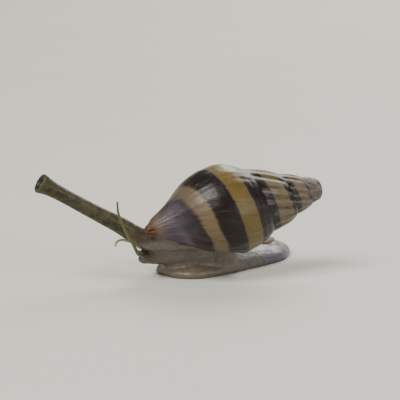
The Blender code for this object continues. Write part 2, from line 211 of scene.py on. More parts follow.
def along(stations, distance):
    """The second number of the stations at these distances, which are their first number."""
    stations = np.asarray(stations, float)
    distance = np.clip(distance, stations[0, 0], stations[-1, 0])
    index = np.clip(np.searchsorted(stations[:, 0], distance) - 1, 0, len(stations) - 2)
    start, end = stations[index, 0], stations[index + 1, 0]
    return smooth_between(stations, index + (distance - start) / (end - start))[..., 1]


def rough(places, size, octaves, seed):
    """Smooth noise from about -1 to 1 at each place, with bumps of this size."""
    offset = Vector((seed, 2 * seed, 3 * seed))
    return np.array([noise.fractal(Vector(place) / size + offset, 1.0, 2.0, octaves) for place in places])


def folds(places, height, finer, size, seed):
    return height * rough(places * finer, size, 2, seed)


def scaled_along(places, direction, lengthwise, across):
    """The places scaled by one number along this direction and by another across it."""
    return places * across + np.outer(places @ direction, direction) * (lengthwise - across)


def copy_of(node):
    """A solid as one closed mesh, in the design's millimetres."""
    made = bpy.data.objects.new(f"{node}_copy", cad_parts[node].data.copy())
    bpy.context.scene.collection.objects.link(made)
    made.data.transform(Matrix.Translation(-SHIFT) @ Matrix.Scale(1 / MM, 4))
    merge(made)
    return made


def settle(piece, name, slot, replaced, *materials):
    """Puts a finished piece in its place in metres, and makes it stand for the solids that it replaces."""
    piece.name = piece.data.name = name
    piece.scale = (MM, MM, MM)
    piece.location = SHIFT * MM
    activate(piece)
    bpy.ops.object.transform_apply(location=True, rotation=True, scale=True)
    bpy.ops.object.shade_smooth()
    piece.data.materials.clear()
    for material in materials:
        piece.data.materials.append(material)
    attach(piece, "root")
    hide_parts(*replaced)


# ------------------------------ shell


def shell_axes():
    axis = np.array((
        math.cos(SHELL_HEADING) * math.cos(SHELL_PITCH),
        math.sin(SHELL_HEADING) * math.cos(SHELL_PITCH),
        math.sin(SHELL_PITCH),
    ))
    up = np.array((0, 0, 1)) - axis * axis[2]
    up /= np.linalg.norm(up)
    return axis, up, np.cross(up, axis)


def whorls_above(rows):
    """How many whorls above the last one each row lies."""
    return np.maximum(0, SPIRE_TURNS - rows // ROWS_PER_TURN)


def whorls_down(turn, reach):
    """Whorls from the last whorl's suture down to this reach, below 0 in the spire."""
    return np.log(reach / LIP_SUTURE) / math.log(WHORL_GROWTH) + 1 - turn


def shell_reach(row, turn):
    """Rows follow the sutures from the worn tip to the end of the spiral part, then spread out evenly."""
    spiral = LIP_SUTURE * WHORL_GROWTH ** (turn - 1 + row / ROWS_PER_TURN - SPIRE_TURNS)
    last_spiral = (SPIRE_TURNS + 1) * ROWS_PER_TURN
    start = LIP_SUTURE * WHORL_GROWTH**turn
    spread = start + (SHELL_REACH - start) * (row - last_spiral) / CANAL_ROWS
    return np.where(row <= last_spiral, np.maximum(spiral, WORN_TIP), spread)


def shell_radius(turn, reach):
    whorls = whorls_down(turn, reach)
    in_whorl = np.where(whorls < 0, whorls - np.floor(whorls), np.minimum(whorls, 1.0))
    bulge = WHORL_BULGE * np.sin(math.pi * in_whorl**WHORL_SHOULDER)
    spire = SPIRE_SLOPE * reach * (1 + bulge)
    lowered = reach - LIP_SPREAD * ease((turn - SPREAD_START) / (1 - SPREAD_START))
    open_mouth = ease((turn - MOUTH_START) / (MOUTH_END - MOUTH_START))
    columella = along(COLUMELLA, reach)
    body = columella + (along(BODY_WHORL, lowered) - columella) * open_mouth
    overlap = np.maximum(BASE_BLEND - abs(spire - body), 0.0) / BASE_BLEND
    blended = np.minimum(spire, body) - overlap**2 * BASE_BLEND / 4
    worn = np.clip((reach - WORN_TIP) / WORN_LENGTH, 0.0, 1.0)
    nub = WORN_RADIUS * np.sqrt(1 - (1 - worn) ** 2) + np.maximum(0.0, reach - WORN_TIP - WORN_LENGTH)
    return np.minimum(blended, nub)


def shell_relief(growth, whorl, reach, turn, is_last):
    """How far ribs, the groove below each suture and spiral threads lift the surface, in millimetres."""
    radius = SPIRE_SLOPE * np.minimum(reach, LIP_SUTURE)
    crest = (0.5 + 0.5 * np.cos(TAU * RIBS_PER_TURN * (growth - RIB_SLANT * whorl))) ** 0.8
    in_spire = np.sin(math.pi * np.clip(whorl, 0, 1)) ** 0.6
    on_body = ease(whorl / 0.25) * (1 - ease((whorl - 0.6) / 0.7)) * (1 - 0.85 * ease((growth + 0.2) / 0.7))
    ribs = RIB_HEIGHT * radius * (crest - 0.45) * np.where(is_last, on_body, in_spire)
    ribs *= ease((reach - 3.2) / 2.5)
    groove = GROOVE_DEPTH * radius * bell((whorl - GROOVE_PLACE) / GROOVE_WIDTH) * ease((reach - 4) / 3)
    threads = THREAD_HEIGHT * np.sin(TAU * THREADS_PER_WHORL * whorl) * ease((whorl - 1.15) / 0.2) * is_last
    marks = np.sin(TAU * GROWTH_MARKS * growth + 2 * np.sin(TAU * 5.1 * growth)) * ease(whorl / 0.2)
    uneven = GROWTH_MARK_HEIGHT * marks * is_last * (turn < 0.995)
    return (ribs - groove + threads + uneven) * ease((SHELL_REACH - reach) / 0.8)


def shell_places(turn, row):
    """Each point's place on the outer surface, its reach, and whorls down from the last whorl's suture."""
    reach, above = shell_reach(row, turn), whorls_above(row)
    in_rows = row / ROWS_PER_TURN - SPIRE_TURNS
    whorl = np.where(row <= (SPIRE_TURNS + 1) * ROWS_PER_TURN, in_rows, whorls_down(turn, reach))
    axis, up, side = shell_axes()
    angle = (LIP_ANGLE + (turn - 1) * TAU)[:, None]
    radial = up * np.cos(angle) + side * np.sin(angle)
    radius = shell_radius(turn, reach) + shell_relief(turn - above, whorl + above, reach, turn, above == 0)
    ragged = 0.5 + 0.5 * np.sin(3 * angle[:, 0] + 1.5 * np.sin(5 * angle[:, 0]))
    chips = END_CHIP * ragged * ease((reach - SHELL_REACH + CHIPPED_LENGTH) / CHIPPED_LENGTH)
    places = CANAL_END + axis * (SHELL_REACH - reach + chips)[:, None] + radial * radius[:, None]

    pitted = (reach < PITTED_REACH) & (reach > WORN_TIP)
    from_tip = reach[pitted] - WORN_TIP
    depth = PIT_DEPTH * ease((PITTED_REACH - reach[pitted]) / 4) * ease(from_tip / 0.3)
    depth *= np.minimum(rough(places[pitted], PIT_SIZE, 3, seed=3.0), 0.1)
    places[pitted] += radial[pitted] * depth[:, None]
    return places, reach, whorl


def turn_outwards(thing):
    activate(thing)
    bpy.ops.object.mode_set(mode="EDIT")
    bpy.ops.mesh.select_all(action="SELECT")
    bpy.ops.mesh.normals_make_consistent(inside=False)
    bpy.ops.object.mode_set(mode="OBJECT")
    highest = max(thing.data.polygons, key=lambda face: face.center.z)
    if highest.normal.z < 0:
        thing.data.flip_normals()


def thicken_shell(shell):
    """Gives the surface a wall on its inner side, thinner near the axis, where the canal is narrow."""
    axis, _, _ = shell_axes()
    from_axis = points_of(shell) - CANAL_END
    distance = np.linalg.norm(from_axis - np.outer(from_axis @ axis, axis), axis=1)
    wall = shell.vertex_groups.new(name="wall")
    for index, share in enumerate(np.clip(distance / FULL_WALL_RADIUS, 0.25, 1.0)):
        wall.add([index], float(share), "REPLACE")
    modify(shell, "SOLIDIFY", thickness=SHELL_WALL, offset=-1, vertex_group="wall", use_even_offset=False,
           material_offset=1, material_offset_rim=0)


def build_shell():
    """One strip wound round the axis, each turn joined to the next, open at the mouth and given a wall."""
    row_count = (2 + SPIRE_TURNS) * ROWS_PER_TURN + CANAL_ROWS
    bpy.ops.mesh.primitive_grid_add(x_subdivisions=TURN_STEPS, y_subdivisions=row_count, size=1)
    shell = bpy.context.object
    flat = points_of(shell)
    turn = np.rint((flat[:, 0] + 0.5) * TURN_STEPS) / TURN_STEPS
    row = np.rint((flat[:, 1] + 0.5) * row_count) - ROWS_PER_TURN
    places, reach, whorl = shell_places(turn, row)
    move_points(shell, places)
    paint(shell, "reach", reach)

    corner = np.empty(len(shell.data.loops), np.int32)
    shell.data.loops.foreach_get("vertex_index", corner)
    above = whorls_above(np.repeat(row[corner].reshape(-1, 4).min(axis=1), 4))
    growth_and_whorl = np.stack((turn[corner] - above, whorl[corner] + above), axis=1).astype(np.float32)
    shell.data.uv_layers.new(name="spiral").uv.foreach_set("vector", growth_and_whorl.ravel())

    merge(shell, 0.002)
    turn_outwards(shell)
    thicken_shell(shell)
    settle(shell, "snail_shell", "shell", ("shell",), shell_material(), shell_lining_material())


# ------------------------------ skin


def tube(name, stations, sides=16, steps=60, start=0.0, end=None):
    """A round closed tube through the stations, with a rounded free end."""
    end = len(stations) - 1 if end is None else end
    rows = smooth_between(stations, np.linspace(start, end, steps))
    data = bpy.data.curves.new(name, "CURVE")
    data.dimensions = "3D"
    data.bevel_depth = 1.0
    data.bevel_resolution = sides // 4 - 1
    data.use_fill_caps = True
    spline = data.splines.new("POLY")
    spline.points.add(steps - 1)
    to_end = np.linalg.norm(rows[:, :3] - rows[-1, :3], axis=1)
    round_off = np.sqrt(1 - (1 - np.clip(to_end / rows[:, 3], 0.08, 1.0)) ** 2)
    for point, row, share in zip(spline.points, rows, round_off):
        point.co = (*row[:3], 1.0)
        point.radius = row[3] * share
    made = bpy.data.objects.new(name, data)
    bpy.context.scene.collection.objects.link(made)
    activate(made)
    bpy.ops.object.convert(target="MESH")
    made = bpy.context.object
    merge(made, 0.0005)
    return made


def shell_filling(inset, stretch, *planes):
    """The shell's solid, shrunk, over this stretch of the axis and on the kept side of each plane."""
    axis, _, _ = shell_axes()
    low, high = stretch
    ends = ((CANAL_END + axis * high, -axis), (CANAL_END + axis * low, axis))
    filling = copy_of("shell")
    modify(filling, "DISPLACE", strength=-inset, mid_level=0.0)
    activate(filling)
    bpy.ops.object.mode_set(mode="EDIT")
    for place, kept_side in (*planes, *ends):
        bpy.ops.mesh.select_all(action="SELECT")
        bpy.ops.mesh.bisect(plane_co=place, plane_no=kept_side, use_fill=True, clear_inner=True)
    bpy.ops.object.mode_set(mode="OBJECT")
    return filling


def mouth_fillings():
    """The flesh just inside the shell's mouth, and inside its canal."""
    _, up, side = shell_axes()
    inner, outer = MOUTH_ANGLES
    planes = (
        (CANAL_END, side * math.cos(inner) - up * math.sin(inner)),
        (CANAL_END, up * math.sin(outer) - side * math.cos(outer)),
    )
    return [shell_filling(MOUTH_INSET, MOUTH_STRETCH, *planes), shell_filling(CANAL_INSET, CANAL_STRETCH)]


def remesh(thing, size):
    modify(thing, "REMESH", mode="VOXEL", voxel_size=size, adaptivity=0.0, use_smooth_shade=True)


def nearest_on(stations, places, steps=160):
    """The nearest point on the path through the stations, as (station, distance, radius there)."""
    where = np.linspace(0, len(stations) - 1, steps)
    path = smooth_between(stations, where)
    best = np.full(len(places), np.inf)
    index = np.zeros(len(places), int)
    for step_index, point in enumerate(path[:, :3]):
        distance = ((places - point) ** 2).sum(axis=1)
        closer = distance < best
        best[closer], index[closer] = distance[closer], step_index
    return where[index], np.sqrt(best), path[index, 3]


def build_skin():
    body = join([copy_of(node) for node in BODY_NODES] + mouth_fillings())
    remesh(body, BODY_VOXEL)
    modify(body, "DISPLACE", strength=SWELLING, mid_level=0.0)
    remesh(body, BODY_VOXEL)
    modify(body, "DISPLACE", strength=-SHRINKING, mid_level=0.0)
    roots = [tube(f"root_{side}", stations, end=EYE_STATION + 0.45) for side, stations in FEELERS.items()]
    skin = join([body, *roots])
    remesh(skin, SKIN_VOXEL)
    modify(skin, "SMOOTH", factor=0.5, iterations=7)
    for side, stations in FEELERS.items():
        whip = tube(f"whip_{side}", stations, sides=12, steps=70, start=EYE_STATION - 0.4)
        modify(skin, "BOOLEAN", operation="UNION", object=whip, solver="MANIFOLD")
        bpy.data.objects.remove(whip)
    refine_head(skin)
    wrinkle_skin(skin)
    settle(skin, "snail_skin", "flesh", BODY_NODES + FEELER_NODES, skin_material())


def select_faces(thing, chosen):
    """Goes to edit mode with these faces selected."""
    activate(thing)
    bpy.ops.object.mode_set(mode="EDIT")
    bpy.ops.mesh.select_mode(type="FACE")
    bpy.ops.mesh.select_all(action="DESELECT")
    bpy.ops.object.mode_set(mode="OBJECT")
    thing.data.polygons.foreach_set("select", chosen)
    bpy.ops.object.mode_set(mode="EDIT")


def refine_head(skin):
    """Splits the faces of the head and of the feelers' roots, which hold the finest folds."""
    centres = vectors_of(skin.data.polygons, "center")
    near = np.linalg.norm(centres - HEAD_MIDDLE, axis=1) < HEAD_RADIUS
    for stations in FEELERS.values():
        station, distance, radius = nearest_on(stations, centres)
        near |= (distance < radius + 0.25) & (station < EYE_STATION + 0.8)
    select_faces(skin, near)
    bpy.ops.mesh.subdivide(number_cuts=1)
    bpy.ops.mesh.vertices_smooth(factor=0.5, repeat=3)
    bpy.ops.object.mode_set(mode="OBJECT")


def feeler_zones(places):
    """How much each point belongs to a feeler, to its thin whip, and to the ring of skin round an eye."""
    feeler, whip, eye_ring = np.zeros((3, len(places)))
    for side, stations in FEELERS.items():
        station, distance, radius = nearest_on(stations, places)
        close = ease((radius * 1.5 + 0.12 - distance) / 0.15)
        feeler = np.maximum(feeler, close * ease((station - 0.2) / 1.2))
        whip = np.maximum(whip, close * ease((station - 1.6) / 1.6))
        from_eye = np.linalg.norm(places - np.array(eye_centre(side)), axis=1)
        eye_ring = np.maximum(eye_ring, bell((from_eye - EYE_RING_RADIUS) / EYE_RING_WIDTH))
    return feeler, whip, eye_ring


def skin_zones(places):
    """How much each point belongs to each zone that the material reads, from 0 to 1, and to the eyes' rings.

    The last result counts the siphon's stations, for the hoops round it.
    """
    station, distance, radius = nearest_on(SIPHON, places)
    siphon = ease((1.6 - distance / radius) / 0.4) * (1 - ease((station - 5.2) / 1.2))
    feeler, whip, eye_ring = feeler_zones(places)
    from_head = np.linalg.norm(places - HEAD_MIDDLE, axis=1)
    from_canal_end = np.linalg.norm(places - CANAL_END, axis=1)
    zones = {
        "siphon": siphon,
        # inside the siphon's open end: no relief there, and its colour is painted shade
        "shaded_bore": ease((0.80 - distance / radius) / 0.15) * (station < 1.6),
        "feeler": feeler,
        "whip": whip,
        "head": ease((HEAD_RADIUS + 0.6 - from_head) / 1.5) * (1 - siphon),
        "rim": ease((RIM_HEIGHT - places[:, 2]) / 0.25),
        "dry": ease((1.7 - from_canal_end) / 0.7),
    }
    return zones, eye_ring, station


def mouth_relief(places):
    """A short upright slit, with a lip on each side of it."""
    away = places - MOUTH_PLACE
    aside, below = abs(away @ HEAD_ASIDE), away[:, 2] / MOUTH_HEIGHT
    slit = bell(aside / MOUTH_WIDTH) - 0.30 * bell((aside - 0.20) / 0.09)
    return -MOUTH_DEPTH * slit * np.exp(-(below**4)) * ease((away @ HEAD_FORWARD + 0.35) / 0.25)


def siphon_relief(places, station):
    """Long creases and faint hoops."""
    direction = np.array(SIPHON[0][:3]) - np.array(SIPHON[-1][:3])
    direction /= np.linalg.norm(direction)
    creases = 0.022 * rough(scaled_along(places, direction, 0.18, 1.0), 0.55, 2, seed=2.0)
    return creases + 0.008 * np.sin(TAU * SIPHON_HOOPS * station)


def raise_lobe(places, normals):
    """Lifts the tail's back to the underside of the operculum, which it carries."""
    away = places[:, :2] - OPERCULUM_PLACE[:2]
    ahead = away @ (math.cos(OPERCULUM_HEADING), math.sin(OPERCULUM_HEADING)) / (OPERCULUM_LENGTH / 2)
    aside = away @ (-math.sin(OPERCULUM_HEADING), math.cos(OPERCULUM_HEADING)) / (OPERCULUM_WIDTH / 2)
    fall = math.tan(OPERCULUM_TILT) * OPERCULUM_LENGTH / 2 * ahead
    fall += OPERCULUM_DROP[0] * ahead**2 + OPERCULUM_DROP[1] * aside**2
    under = OPERCULUM_PLACE[2] - LOBE_DEPTH - fall
    share = ease((1.35 - np.hypot(ahead, aside)) / 0.4) * (normals[:, 2] > 0.3)
    places[:, 2] += share * np.maximum(under - places[:, 2], 0.0)


def wrinkle_skin(skin):
    """Folds, furrows and grains as real relief, and the zones that the material reads."""
    places, normals = points_of(skin), vectors_of(skin.data.vertices, "normal")
    zones, eye_ring, siphon_station = skin_zones(places)
    height, upward = places[:, 2], normals[:, 2]
    body = (1 - zones["siphon"]) * (1 - zones["feeler"])
    ringed = scaled_along(places, HEAD_FORWARD, 1.0, 0.3)
    groove = bell((height - FRONT_GROOVE_HEIGHT) / FRONT_GROOVE_WIDTH) * ease((-1.2 - places[:, 0]) / 1.0)
    on_body = folds(places, *NECK_FOLDS) * ease((height - 1.4) / 0.8)
    on_body += folds(places, *FLANK_FURROWS) * (1 - ease((height - 1.6) / 0.8))
    on_body += 0.030 * rough(ringed, 0.34, 2, seed=4.0) * ease((height - 0.9) / 0.6)
    on_body -= FRONT_GROOVE_DEPTH * groove
    lift = folds(places, *GRAINS) + on_body * body + siphon_relief(places, siphon_station) * zones["siphon"]
    lift += folds(places, *RIM_WAVES) * zones["rim"] * (abs(upward) < 0.7)
    lift += EYE_RING_HEIGHT * eye_ring + mouth_relief(places)
    lift *= 1 - 0.85 * zones["feeler"] * (1 - eye_ring)
    lift *= ease((upward + 0.97) / 0.3) * (1 - zones["shaded_bore"])
    places += normals * lift[:, None]
    raise_lobe(places, normals)
    places[:, 2] = np.where(places[:, 2] < SOLE_SINK, 0.0, places[:, 2])
    move_points(skin, places)
    for name, share in zones.items():
        paint(skin, name, share)


# ------------------------------ eyes and operculum


def eye_centre(side):
    return Vector(FEELERS[side][EYE_STATION][:3]) + EYE_SIDES[side].normalized() * EYE_OUT


def build_eyes():
    for side in FEELERS:
        middle = eye_centre(side)
        bpy.ops.mesh.primitive_uv_sphere_add(segments=32, ring_count=20, radius=EYE_RADIUS, location=middle)
        eye = bpy.context.object
        bpy.ops.object.transform_apply(location=True, rotation=True, scale=True)
        settle(eye, f"snail_eye_{side}", "eye", (f"eye_{side}",), eye_material())


def build_operculum():
    """A thin oval plate with growth ridges round its slimmer end, lying on the back of the tail."""
    bpy.ops.mesh.primitive_uv_sphere_add(segments=96, ring_count=80, radius=1.0)
    plate = bpy.context.object
    ball = points_of(plate)
    out = np.hypot(ball[:, 0], ball[:, 1])
    angle = np.arctan2(ball[:, 1], ball[:, 0])
    rim = np.stack((np.cos(angle), np.sin(angle) * (1 - OPERCULUM_TAPER * np.cos(angle))), axis=1)
    flat = np.array((OPERCULUM_START, 0.0)) * (1 - out)[:, None] + rim * out[:, None]
    to_rim = (1 - (flat**2).sum(axis=1), 1 - out**2)
    thick = sum(0.5 * np.sqrt(np.maximum(share, 0)) for share in to_rim) * OPERCULUM_THICKNESS / 2
    ridges = OPERCULUM_RIDGE_HEIGHT * np.sin(TAU * OPERCULUM_RIDGES * out) * (ball[:, 2] > 0)
    ridges *= ease(out / 0.1) * ease((1 - out) / 0.06)
    move_points(plate, np.stack((
        flat[:, 0] * OPERCULUM_LENGTH / 2,
        flat[:, 1] * OPERCULUM_WIDTH / 2,
        np.sign(ball[:, 2]) * thick + ridges - flat**2 @ OPERCULUM_DROP,
    ), axis=1))
    paint(plate, "ring", out)
    plate.rotation_euler = (0, OPERCULUM_TILT, OPERCULUM_HEADING)
    plate.location = OPERCULUM_PLACE
    bpy.ops.object.transform_apply(location=True, rotation=True, scale=True)
    settle(plate, "snail_operculum", "horn", ("operculum",), horn_material())


# ------------------------------ material helpers


def rgb(red, green, blue):
    return (red, green, blue, 1.0)


def connect(tree, socket, value):
    """Links another node's output to the socket, or sets the socket to a number or colour."""
    if isinstance(value, bpy.types.NodeSocket):
        tree.links.new(value, socket)
    else:
        socket.default_value = value


def add(tree, kind, inputs=None, **settings):
    made = tree.nodes.new(f"ShaderNode{kind}")
    for name, value in settings.items():
        setattr(made, name, value)
    for name, value in (inputs or {}).items():
        connect(tree, made.inputs[name], value)
    return made


def maths(tree, operation, first, *others):
    """This operation on one value, or on two or more in turn."""
    for value in others or (0.0,):
        first = add(tree, "Math", {0: first, 1: value}, operation=operation).outputs[0]
    return first


def plus(tree, *values):
    return maths(tree, "ADD", *values)


def minus(tree, first, second):
    return maths(tree, "SUBTRACT", first, second)


def times(tree, *values):
    return maths(tree, "MULTIPLY", *values)


def step(tree, value, low, high, before=0.0, after=1.0):
    """Turns smoothly from `before` to `after` while the value goes from low to high."""
    inputs = {"Value": value, "From Min": low, "From Max": high, "To Min": before, "To Max": after}
    return add(tree, "MapRange", inputs, interpolation_type="SMOOTHSTEP").outputs[0]


def tint(tree, share, under, over, mode="MIX"):
    """The colour `over` laid on the colour `under`, by this share."""
    return add(tree, "Mix", {0: share, 6: under, 7: over}, data_type="RGBA", blend_type=mode).outputs[2]


def noise_of(tree, vector, scale, detail=3.0, roughness=0.5):
    inputs = {"Vector": vector, "Scale": scale, "Detail": detail, "Roughness": roughness}
    return add(tree, "TexNoise", inputs).outputs["Fac"]


def attribute(tree, name):
    return add(tree, "Attribute", attribute_name=name).outputs["Fac"]


def millimetres(tree):
    """Each point's place on the object, in millimetres."""
    place = add(tree, "TexCoord").outputs["Object"]
    return add(tree, "VectorMath", {"Vector": place, "Scale": 1 / MM}, operation="SCALE").outputs[0]


def new_effect(name, inputs):
    """An empty node group that turns a vector and some numbers into a mask."""
    group = bpy.data.node_groups.new(name, "ShaderNodeTree")
    group.interface.new_socket("Vector", in_out="INPUT", socket_type="NodeSocketVector")
    for socket, value in inputs.items():
        number = group.interface.new_socket(socket, in_out="INPUT", socket_type="NodeSocketFloat")
        number.default_value = value
    group.interface.new_socket("Mask", in_out="OUTPUT", socket_type="NodeSocketFloat")
    return group, group.nodes.new("NodeGroupInput").outputs, group.nodes.new("NodeGroupOutput").inputs


def make_mottling():
    """Soft cloudy patches. Cover is their share of the surface, Softness the width of their edges."""
    group, given, result = new_effect("Mottling", {"Scale": 1.0, "Cover": 0.5, "Softness": 0.2})
    cloud = noise_of(group, given["Vector"], given["Scale"], 4.0, 0.6)
    bare = minus(group, 1.0, given["Cover"])
    middle = add(group, "MapRange", {"Value": bare, "To Min": 0.28, "To Max": 0.72}).outputs[0]
    half_edge = times(group, given["Softness"], 0.5)
    low, high = minus(group, middle, half_edge), plus(group, middle, half_edge)
    connect(group, result["Mask"], step(group, cloud, low, high))


def make_speckles():
    """Small round spots with uneven sizes. Size is a spot's share of the cell that it lies in."""
    group, given, result = new_effect("Speckles", {"Scale": 5.0, "Size": 0.3})
    wander = add(group, "TexNoise", {"Vector": given["Vector"], "Scale": given["Scale"]}).outputs["Color"]
    shift = maths(group, "DIVIDE", 0.6, given["Scale"])
    push = add(group, "VectorMath", {"Vector": wander, "Scale": shift}, operation="SCALE").outputs[0]
    bent = add(group, "VectorMath", {0: given["Vector"], 1: push}, operation="ADD").outputs[0]
    cell = add(group, "TexVoronoi", {"Vector": bent, "Scale": given["Scale"]})
    chance = add(group, "SeparateColor", {"Color": cell.outputs["Color"]}).outputs["Red"]
    uneven = maths(group, "MAXIMUM", minus(group, times(group, chance, 1.7), 0.5), 0.001)
    edge = times(group, given["Size"], uneven)
    inner = times(group, edge, 0.55)
    connect(group, result["Mask"], step(group, cell.outputs["Distance"], inner, edge, 1.0, 0.0))


def make_growth_lines():
    """Fine uneven lines across the vector's X, as growth leaves them. Length is how far they run along Y."""
    group, given, result = new_effect("Growth_Lines", {"Scale": 10.0, "Length": 8.0})
    split = add(group, "SeparateXYZ", {"Vector": given["Vector"]}).outputs
    along_line = maths(group, "DIVIDE", split["Y"], given["Length"])
    stretched = add(group, "CombineXYZ", {"X": split["X"], "Y": along_line, "Z": split["Z"]}).outputs[0]
    connect(group, result["Mask"], noise_of(group, stretched, given["Scale"], 5.0, 0.65))


def effect(tree, name, vector, **values):
    """Places an effect in a material with its own values, and gives its mask."""
    inputs = {"Vector": vector, **values}
    return add(tree, "Group", inputs, node_tree=bpy.data.node_groups[name]).outputs["Mask"]


def mottled(tree, vector, scale, cover, softness):
    return effect(tree, "Mottling", vector, Scale=scale, Cover=cover, Softness=softness)


def speckled(tree, vector, scale, size):
    return effect(tree, "Speckles", vector, Scale=scale, Size=size)


def grown(tree, vector, scale, length):
    return effect(tree, "Growth_Lines", vector, Scale=scale, Length=length)


def patches(tree, vector, colour, rows):
    """Lays soft patches on a colour. Each row holds their scale, cover, softness, share and colour."""
    for scale, cover, softness, share, over in rows:
        colour = tint(tree, times(tree, mottled(tree, vector, scale, cover, softness), share), colour, over)
    return colour


def new_material(name, **constants):
    """A material with these fixed values, its node tree and its shader's inputs."""
    made = bpy.data.materials.new(name)
    made.use_nodes = True
    inputs = made.node_tree.nodes["Principled BSDF"].inputs
    for socket, value in constants.items():
        inputs[socket.replace("_", " ")].default_value = value
    return made, made.node_tree, inputs


def bump(tree, surface, height, depth):
    """Raises the surface by the height, whose whole range is this many millimetres."""
    raised = add(tree, "Bump", {"Height": height, "Distance": depth * MM, "Strength": 1.0})
    connect(tree, surface["Normal"], raised.outputs["Normal"])


# ------------------------------ the shell's materials

NEAR_BLACK = rgb(0.0065, 0.0022, 0.0020)
OCHRE = rgb(0.118, 0.078, 0.018)
CREAM = rgb(0.125, 0.090, 0.046)
CHALK = rgb(0.23, 0.19, 0.17)
CANAL_GREY = rgb(0.075, 0.063, 0.070)
CANAL_VIOLET = rgb(0.040, 0.024, 0.042)
CANAL_TAN = rgb(0.115, 0.075, 0.045)
WORN_BROWN = rgb(0.070, 0.030, 0.006)
WORN_GREY = rgb(0.056, 0.042, 0.042)
FADED_BROWN = rgb(0.040, 0.021, 0.015)
# Painted highlight for the pale dashes along the growth lines.
PAINTED_GLINT_GREY = rgb(0.25, 0.22, 0.20)
LINING = rgb(0.24, 0.19, 0.17)
# These three darken what they are laid on; the last is painted shade for the valleys between the spire's
# ribs.
LINE_SHADE = rgb(0.35, 0.30, 0.28)
CLOUD_SHADE = rgb(0.55, 0.50, 0.48)
RIB_VALLEY_PAINTED_SHADE = rgb(0.36, 0.25, 0.20)
# Where each band of the shell starts, counted in whorls down from the suture.
BAND_STARTS = ((0.0, NEAR_BLACK), (0.36, CREAM), (0.73, NEAR_BLACK), (1.12, CREAM), (1.32, NEAR_BLACK),
               (1.56, CANAL_GREY))
BAND_RANGE = 2.0
BAND_EDGE = 0.045


def band_ramp(tree, whorl):
    """The shell's bands, each with a narrow soft edge."""
    ramp = add(tree, "ValToRGB", {"Fac": maths(tree, "DIVIDE", whorl, BAND_RANGE)})
    stops = ramp.color_ramp.elements
    stops.remove(stops[1])
    stops[0].color = BAND_STARTS[0][1]
    for (_, before), (start, after) in zip(BAND_STARTS, BAND_STARTS[1:]):
        for place, colour in ((start - BAND_EDGE / 2, before), (start + BAND_EDGE / 2, after)):
            stops.new(place / BAND_RANGE).color = colour
    return ramp.outputs["Color"]


def spiral_coordinates(tree):
    """Turns of growth, whorls down from the suture, growth along a rib, and a vector with even steps."""
    split = add(tree, "SeparateXYZ", {"Vector": add(tree, "UVMap", uv_map="spiral").outputs["UV"]})
    growth, whorl = split.outputs["X"], split.outputs["Y"]
    slanted = minus(tree, growth, times(tree, whorl, RIB_SLANT))
    even = add(tree, "CombineXYZ", {"X": times(tree, slanted, 6.0), "Y": whorl}).outputs[0]
    return growth, whorl, slanted, even


def shell_bands(tree, growth, whorl, even, lines):
    """Bands with uneven edges. The upper light one is widest on the young whorls, and ochre on the last."""
    ragged = times(tree, minus(tree, lines, 0.5), 0.07)
    wavy = times(tree, minus(tree, noise_of(tree, even, 1.3), 0.5), 0.10)
    young = step(tree, growth, -0.75, 0.1, 1.0, 0.0)
    moved = times(tree, young, step(tree, whorl, 0.3, 0.7, 0.16, -0.04))
    across = plus(tree, whorl, moved, ragged, wavy)
    light_band = times(tree, step(tree, across, 0.36, 0.40), step(tree, across, 0.70, 0.74, 1.0, 0.0))
    last_whorl = step(tree, growth, -0.55, -0.1)
    return tint(tree, times(tree, light_band, last_whorl), band_ramp(tree, across), OCHRE)


def rubbed_ribs_and_valley_shade(tree, colour, growth, slanted, even, lines):
    """The spire's ribs, rubbed chalky in patches, with painted shade in the valleys between them."""
    crest = maths(tree, "COSINE", times(tree, slanted, TAU * RIBS_PER_TURN))
    on_spire = step(tree, growth, -0.5, 0.1, 1.0, 0.0)
    patchy = mottled(tree, even, 2.6, 0.48, 0.30)
    rubbed = times(tree, step(tree, crest, -0.2, 1.0), step(tree, lines, 0.42, 0.60), on_spire, patchy, 0.75)
    colour = tint(tree, rubbed, colour, CHALK)
    uneven = step(tree, noise_of(tree, even, 2.2), 0.36, 0.60)
    # Painted shade between the ribs.
    painted_valley_shade = times(tree, step(tree, crest, 0.1, -0.95), on_spire, 0.8, uneven)
    return tint(tree, painted_valley_shade, colour, RIB_VALLEY_PAINTED_SHADE, "MULTIPLY")


def canal_colours(tree, colour, reach, even):
    """Grey and violet towards the end of the canal, then tan, then a worn brown tip."""
    grey = tint(tree, mottled(tree, even, 4.5, 0.55, 0.3), CANAL_GREY, CANAL_VIOLET)
    colour = tint(tree, times(tree, step(tree, reach, 17.0, 21.0), 0.80), colour, grey)
    colour = tint(tree, step(tree, reach, 20.8, 22.2, 0.0, 0.75), colour, CANAL_TAN)
    return tint(tree, step(tree, reach, 21.9, 22.7), colour, WORN_BROWN)


